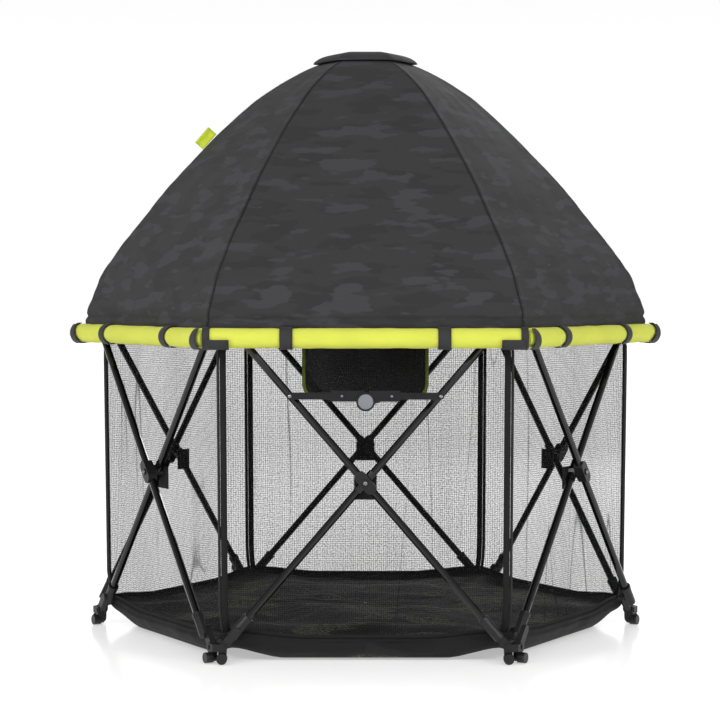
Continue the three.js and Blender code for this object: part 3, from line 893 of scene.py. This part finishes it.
pocketShape = {
    "half": pocketHigh.x,
    "top": pocketHigh.z,
    "bottom": pocketLow.z,
    "front": -pocketLow.y - 0.003,
    "back": -pocketHigh.y + 0.004,
    "corner": 0.030,
    "binding": 0.0032,
    "flat": (0.252, 0.102),
}


# Along and up of the pocket's rim: down one side, round the bottom and up the other side.
def pocketEdge(share):
    half, top, bottom, corner = (pocketShape[key] for key in ("half", "top", "bottom", "corner"))
    side = top - bottom - corner
    arc = corner * math.pi / 2
    flat = 2 * (half - corner)
    run = share * (2 * side + 2 * arc + flat)
    if run < side:
        return -half, top - run
    run -= side
    if run < arc:
        turn = math.pi + run / corner
        return -half + corner + corner * math.cos(turn), bottom + corner + corner * math.sin(turn)
    run -= arc
    if run < flat:
        return -half + corner + run, bottom
    run -= flat
    if run < arc:
        turn = 1.5 * math.pi + run / corner
        return half - corner + corner * math.cos(turn), bottom + corner + corner * math.sin(turn)
    return half, bottom + corner + run - arc


def makePocketFace(name, out, bulge):
    def place(rowShare, columnShare):
        along, up = pocketEdge(columnShare)
        along *= rowShare
        up = pocketShape["top"] + (up - pocketShape["top"]) * rowShare
        puff = bulge * (1 - rowShare ** 2) * (1 + 0.5 * ripple(along * 20, up * 20, 3))
        return sidePoint(0, along, out + puff, up)

    face = gridPiece(name, 18, 60, place)
    layer = face.data.uv_layers.new(name="UVMap")
    for loop in face.data.loops:
        position = face.data.vertices[loop.vertex_index].co
        layer.data[loop.index].uv = (position.x, position.z)
    return face


def makePocketBinding(name, out):
    radius = pocketShape["binding"]

    def place(rowShare, columnShare):
        along, up = pocketEdge(rowShare)
        ahead = pocketEdge(min(1, rowShare + 0.004))
        back = pocketEdge(max(0, rowShare - 0.004))
        direction = Vector((ahead[0] - back[0], ahead[1] - back[1])).normalized()
        angle = columnShare * math.tau
        inPlane = Vector((-direction.y, direction.x)) * math.cos(angle) * radius
        return sidePoint(0, along + inPlane.x, out + math.sin(angle) * radius * 0.6, up + inPlane.y)

    return fixNormals(gridPiece(name, 90, 10, place, closeColumns=True, capEnds=True))


pocketAnchor = sidePoint(0, -railShape["apothem"] * halfTan, railShape["apothem"], railShape["height"])
pocketFaces = [
    makePocketFace("pocketFront", pocketShape["front"], -0.001),
    makePocketFace("pocketBack", pocketShape["back"], -0.003),
]
for face in pocketFaces:
    if face.name == "pocketFront":
        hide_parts("storage_pocket")
    dress(face, pocketNet, "top_hub_0", sideAxis(0))
    cutArea(face, pocketShape["flat"])


def makeGusset():
    def place(rowShare, columnShare):
        along, up = pocketEdge(rowShare)
        front, back = pocketShape["front"], pocketShape["back"]
        return sidePoint(0, along, front + (back - front) * columnShare, up)

    return gridPiece("pocketGusset", 90, 4, place)


dress(makeGusset(), bandBlack, "top_hub_0", sideAxis(0))
# The pocket binding gets the lime with painted shade in its colour.
bindings = joinPieces("pocketBinding", [makePocketBinding("bindingFront", pocketShape["front"]),
                                        makePocketBinding("bindingBack", pocketShape["back"])])
dress(bindings, bindingLimePaintedShade, "top_hub_0", sideAxis(0))
print("pocket made")

# Small things: rivets, tag

# A rivet head that stands on a flat face.
def makeDome(name, centre, outward, radius, height):
    outward = outward.normalized()
    across = outward.orthogonal().normalized()
    other = outward.cross(across)

    def place(rowShare, columnShare):
        lift = math.sin(rowShare * math.pi / 2)
        spread = math.cos(rowShare * math.pi / 2)
        angle = columnShare * math.tau
        ring = across * math.cos(angle) + other * math.sin(angle)
        return centre + ring * radius * max(spread, 0.02) + outward * height * lift

    return gridPiece(name, 8, 24, place, closeColumns=True)


rivetPlaces = []
for x, body, face in [(-0.1521, "lock_left", leftArmLow.y), (0.1521, "lock_right", rightArmLow.y),
                      (-0.047, "lock_left", leftArmLow.y), (0.053, "lock_right", rightArmLow.y)]:
    radius = 0.0042 if abs(x) > 0.1 else 0.0032
    rivetPlaces.append((Vector((x, face, leftArmHigh.z - 0.011)), 0, body, radius))
for side in range(sideCount):
    middle = sidePoint(side, 0, -blockLow.y, (blockLow.z + blockHigh.z) / 2)
    rivetPlaces.append((middle, side, f"outer_tube_{side}", 0.0048))
for number, (place, side, body, radius) in enumerate(rivetPlaces):
    seat = place - sidePoint(side, 0, 0.0006, 0)
    rivet = makeDome(f"rivet_{number}", seat, sidePoint(side, 0, 1, 0), radius, 0.003)
    dress(rivet, rivetSteel, body)


cordShape = {"radius": 0.0013, "footOut": 0.598, "matOut": 0.574, "height": 0.041, "spread": 0.014}


# A loop from the foot joint round the mat's corner eyelet and back.
def cornerCordPath(corner):
    turn = corner * sideTurn - math.pi / 2 - sideTurn / 2
    spoke = Vector((math.cos(turn), math.sin(turn), 0))
    across = Vector((-spoke.y, spoke.x, 0))
    path = []
    for step in range(33):
        share = step / 32
        reach = math.sin(math.pi * share)
        out = cordShape["footOut"] + (cordShape["matOut"] - cordShape["footOut"]) * reach
        wide = cordShape["spread"] * math.cos(math.pi * share) * (1 - 0.4 * reach)
        path.append(spoke * out + across * wide + Vector((0, 0, cordShape["height"] + 0.010 * reach)))
    return path


def makeCord(name, path, radius):
    def place(rowShare, columnShare):
        index = min(len(path) - 1, round(rowShare * (len(path) - 1)))
        ahead, back = path[min(len(path) - 1, index + 1)], path[max(0, index - 1)]
        along = (ahead - back).normalized()
        across = along.cross(Vector((0, 0, 1))).normalized()
        other = along.cross(across)
        angle = columnShare * math.tau
        return path[index] + (across * math.cos(angle) + other * math.sin(angle)) * radius

    return fixNormals(gridPiece(name, len(path), 10, place, closeColumns=True, capEnds=True))


for corner in range(sideCount):
    path = cornerCordPath(corner)
    loop = makeCord(f"cornerCord_{corner}", path, cordShape["radius"])
    dress(loop, bandBlack, f"foot_hub_{corner}")
    length = sum((after - before).length for before, after in zip(path, path[1:]))
    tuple(path[0])

tagShape = {"radius": 0.352, "up": 1.094, "width": 0.046, "reach": 0.024}


def makeTag():
    def place(rowShare, columnShare):
        slope = Vector((-0.66, 0, -0.75))
        spine = Vector((-tagShape["radius"], 0, tagShape["up"]))
        outward = Vector((-0.75, 0, 0.66))
        curl = 0.004 * math.sin(rowShare * 3)
        position = spine + slope * tagShape["width"] * (columnShare - 0.5)
        position += outward * tagShape["reach"] * rowShare
        return position + Vector((0, -0.002 + curl, 0))

    return thicken(gridPiece("hemTag", 6, 6, place), 0.0014)


tag = makeTag()
dress(tag, tagLime, "canopy")
print("trims made")

# Stage, light and camera

def makeFloor():
    corners = [(x * 30, y * 30, -0.0012) for x, y in ((-1, -1), (1, -1), (1, 1), (-1, 1))]
    floor = newPiece("studioFloor", corners, [(0, 1, 2, 3)])
    material, nodes, links, shader = startMaterial("floorWhite")
    shader.inputs["Base Color"].default_value = (0.86, 0.86, 0.86, 1)
    shader.inputs["Emission Color"].default_value = (1, 1, 1, 1)
    shader.inputs["Emission Strength"].default_value = 0.42
    shader.inputs["Roughness"].default_value = 0.14
    shader.inputs["Specular IOR Level"].default_value = 0.45
    floor.data.materials.append(material)


def addAreaLight(name, place, target, size, power):
    light = bpy.data.lights.new(name, "AREA")
    light.shape = "RECTANGLE"
    light.size, light.size_y = size
    light.energy = power
    lamp = bpy.data.objects.new(name, light)
    lamp.location = place
    lamp.rotation_euler = (Vector(target) - Vector(place)).to_track_quat("-Z", "Y").to_euler()
    bpy.context.scene.collection.objects.link(lamp)


makeFloor()
addAreaLight("topBox", (-0.5, -0.6, 4.4), (0, 0, 0.6), (2.6, 2.6), 20)
addAreaLight("leftStrip", (-3.4, -3.0, 1.6), (0, 0, 0.6), (0.3, 2.6), 60)
addAreaLight("rightStrip", (3.3, -3.2, 1.7), (0, 0, 0.6), (0.25, 2.6), 50)
addAreaLight("frontStrip", (0, -4.3, 3.4), (0, 0, 0.5), (8, 0.7), 170)
addAreaLight("backStrip", (1.6, 4.2, 2.4), (0, 0, 0.6), (0.6, 2.4), 60)


# White all round at eye height, dimmer overhead.
def makeWorld():
    world = bpy.data.worlds.new("studioWhite")
    world.use_nodes = True
    nodes, links = world.node_tree.nodes, world.node_tree.links
    coords = nodes.new("ShaderNodeTexCoord")
    parts = nodes.new("ShaderNodeSeparateXYZ")
    links.new(coords.outputs["Generated"], parts.inputs["Vector"])
    fade = nodes.new("ShaderNodeMapRange")
    fade.inputs["From Min"].default_value = 0.12
    fade.inputs["From Max"].default_value = 0.6
    fade.inputs["To Min"].default_value = 1.0
    fade.inputs["To Max"].default_value = 0.3
    links.new(parts.outputs["Z"], fade.inputs["Value"])
    links.new(fade.outputs["Result"], nodes["Background"].inputs["Strength"])
    nodes["Background"].inputs["Color"].default_value = (1, 1, 1, 1)
    bpy.context.scene.world = world


makeWorld()
bpy.context.scene.view_settings.view_transform = "Standard"

viewPoint = {"distance": 4.86, "height": 0.760, "pitch": 0.0329, "lens": 107.1, "shift": -0.00744}
camera = bpy.data.cameras.new("studioCamera")
camera.lens = viewPoint["lens"]
camera.sensor_width = 36
camera.shift_x = viewPoint["shift"]
cameraObject = bpy.data.objects.new("studioCamera", camera)
cameraObject.location = (0, -viewPoint["distance"], viewPoint["height"])
cameraObject.rotation_euler = (math.pi / 2 - viewPoint["pitch"], 0, 0)
bpy.context.scene.collection.objects.link(cameraObject)
bpy.context.scene.camera = cameraObject
print("stage made")
